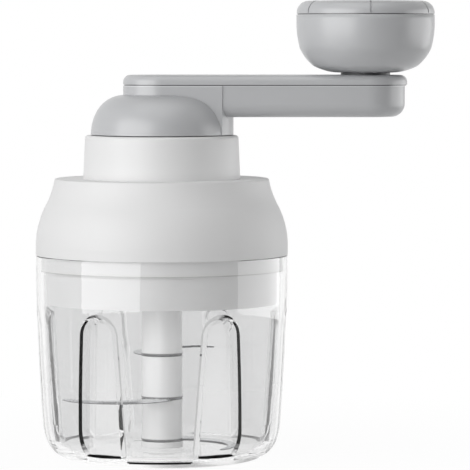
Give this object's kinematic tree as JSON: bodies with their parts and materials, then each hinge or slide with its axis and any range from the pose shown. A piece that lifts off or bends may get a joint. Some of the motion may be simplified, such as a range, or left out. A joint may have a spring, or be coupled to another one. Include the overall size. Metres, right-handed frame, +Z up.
{
  "type": "hand crank food chopper",
  "caption": "Hand-cranked food chopper: clear fluted bowl with sickle blades on a post, white geared lid, grey crank arm with a round knob.",
  "frame": {"origin": "on the bowl's axis, at the flat face it stands on", "axes": "+Z up along the bowl's axis, +X along the crank arm at rest, +Y to the back"},
  "size_m": [0.1356, 0.0858, 0.156],
  "materials": {
    "clear_bowl": "clear, polished",
    "white_gloss": "gloss",
    "white_collar": "gloss",
    "white_plug": "gloss",
    "white_post": "satin",
    "grey_arm": "satin",
    "grey_dome": "satin",
    "blade_steel": "brushed",
    "pin_steel": "polished",
    "screw_steel": "plated",
    "gear_acetal": "satin, natural",
    "deck_plastic": "satin",
    "bush_plastic": "satin",
    "shaft_plastic": "satin, filled",
    "seal_rubber": "matt"
  },
  "bodies": {
    "bowl": {"bowl": "clear_bowl", "pivot_pin": "pin_steel"},
    "lid": {"lid_shell": "white_gloss", "collar_ring": "white_collar", "upper_bush": "bush_plastic", "inner_cover": "white_plug", "gasket_ring": "seal_rubber", "shaft_seal": "seal_rubber", "gear_deck": "deck_plastic", "lower_bush": "bush_plastic", "planet_pins": "pin_steel", "planet_clips": "screw_steel", "lid_screws": "screw_steel"},
    "crank": {"crank_spindle": "shaft_plastic", "hub_screws": "screw_steel", "hub_dome": "grey_dome", "arm_shell": "grey_arm", "arm_cover": "grey_arm", "spindle_screw": "screw_steel", "knob_washer": "bush_plastic", "knob_post": "pin_steel", "knob_retainer": "screw_steel", "knob_screw": "screw_steel", "ring_gear": "gear_acetal"},
    "knob": {"knob_shell": "grey_arm", "knob_bush": "bush_plastic", "knob_cap": "grey_arm"},
    "planet_1": {"planet_gear_1": "gear_acetal"},
    "planet_2": {"planet_gear_2": "gear_acetal"},
    "planet_3": {"planet_gear_3": "gear_acetal"},
    "drive": {"drive_shaft": "shaft_plastic", "sun_gear": "gear_acetal", "shaft_clip": "screw_steel"},
    "blades": {"blade_post": "white_post", "blade_bottom": "blade_steel", "spacer_lower": "white_post", "blade_middle": "blade_steel", "spacer_middle": "white_post", "blade_top": "blade_steel", "sleeve_upper": "white_post"}
  },
  "joints": [
    {"name": "lid_lift", "type": "slide", "parent": "bowl", "child": "lid", "axis": [0, 0, 1], "range_m": [0, 0.06]},
    {"name": "crank_turn", "type": "hinge", "parent": "lid", "child": "crank", "pos_m": [0, 0, 0.1104], "axis": [0, 0, 1], "continuous": true},
    {"name": "knob_spin", "type": "hinge", "parent": "crank", "child": "knob", "pos_m": [0.0692, 0, 0.14], "axis": [0, 0, 1], "continuous": true},
    {"name": "planet_1_spin", "type": "hinge", "parent": "lid", "child": "planet_1", "pos_m": [0.018, 0, 0.0784], "axis": [0, 0, 1], "continuous": true},
    {"name": "planet_2_spin", "type": "hinge", "parent": "lid", "child": "planet_2", "pos_m": [-0.009, 0.01559, 0.0784], "axis": [0, 0, 1], "continuous": true},
    {"name": "planet_3_spin", "type": "hinge", "parent": "lid", "child": "planet_3", "pos_m": [-0.009, -0.01559, 0.0784], "axis": [0, 0, 1], "continuous": true},
    {"name": "drive_spin", "type": "hinge", "parent": "lid", "child": "drive", "pos_m": [0, 0, 0.07], "axis": [0, 0, 1], "continuous": true},
    {"name": "blade_spin", "type": "hinge", "parent": "bowl", "child": "blades", "pos_m": [0, 0, 0.03], "axis": [0, 0, 1], "continuous": true}
  ],
  "couplings": [
    {"joint": "planet_1_spin", "follows": "crank_turn", "ratio": 3},
    {"joint": "planet_2_spin", "follows": "crank_turn", "ratio": 3},
    {"joint": "planet_3_spin", "follows": "crank_turn", "ratio": 3},
    {"joint": "drive_spin", "follows": "crank_turn", "ratio": -3},
    {"joint": "blade_spin", "follows": "crank_turn", "ratio": -3}
  ]
}
